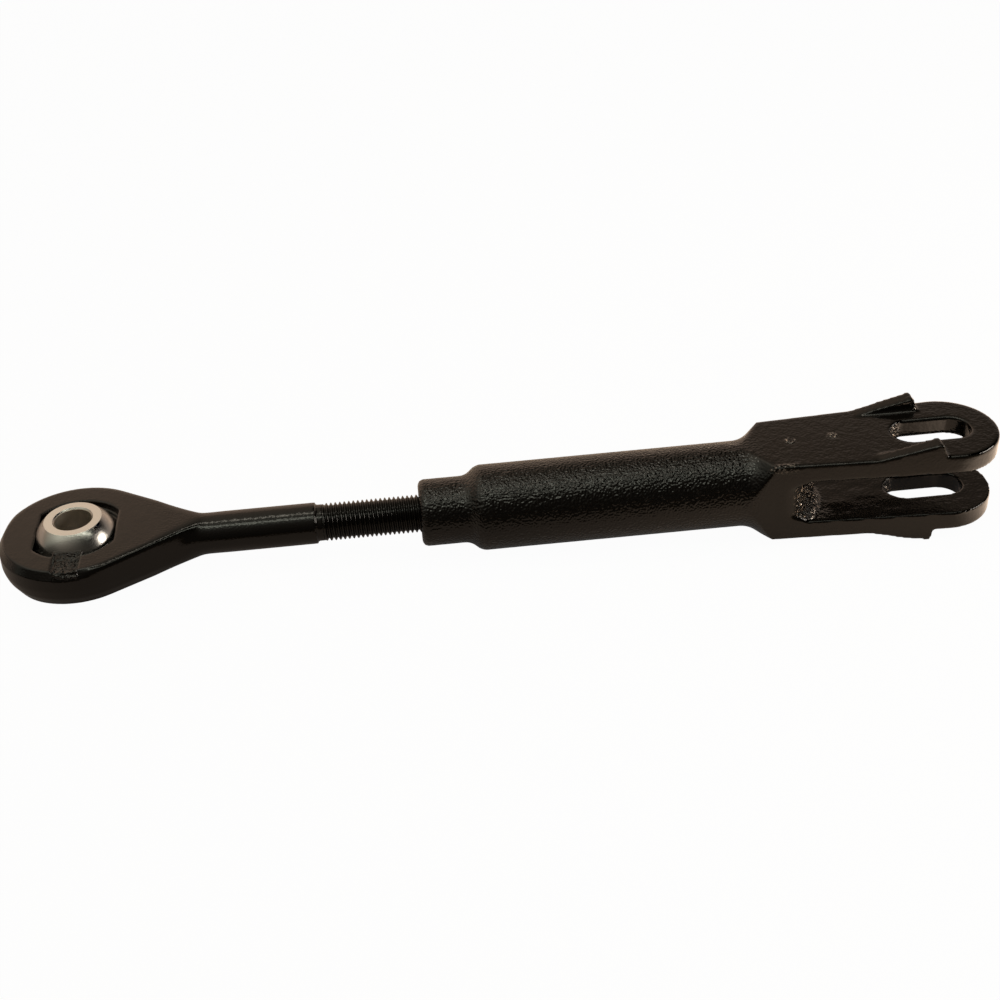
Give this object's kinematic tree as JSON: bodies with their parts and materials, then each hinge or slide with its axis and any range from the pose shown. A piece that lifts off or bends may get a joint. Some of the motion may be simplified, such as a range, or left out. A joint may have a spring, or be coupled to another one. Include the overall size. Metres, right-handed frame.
{
  "type": "tractor lift link",
  "caption": "Adjustable tractor lift link: swivel-ball eye on a threaded rod screwed into a cast barrel that ends in a slotted fork.",
  "frame": {"origin": "centre of the swivel ball, on the axis of its bore and on the rod's axis", "axes": "+X along the link from the ball to the fork, +Z along the ball's bore towards the recessed face of the eye, +Y across the link"},
  "size_m": [0.7066, 0.1064, 0.0805],
  "materials": {
    "ball_steel": "bright turned steel, lightly yellowed",
    "forged_rod": "gloss black paint over forged steel",
    "cast_body": "gloss black paint over rough castings"
  },
  "bodies": {
    "body": {"link_body": "cast_body"},
    "rod": {"eye_rod": "forged_rod"},
    "ball": {"swivel_ball": "ball_steel"}
  },
  "joints": [
    {"name": "length_screw", "type": "slide", "parent": "body", "child": "rod", "axis": [-1, 0, 0], "range_m": [-0.07, 0.055]},
    {"name": "ball_swivel", "type": "hinge", "parent": "rod", "child": "ball", "pos_m": [0, 0, 0], "axis": [0, 1, 0], "range_deg": [-15, 15]}
  ]
}
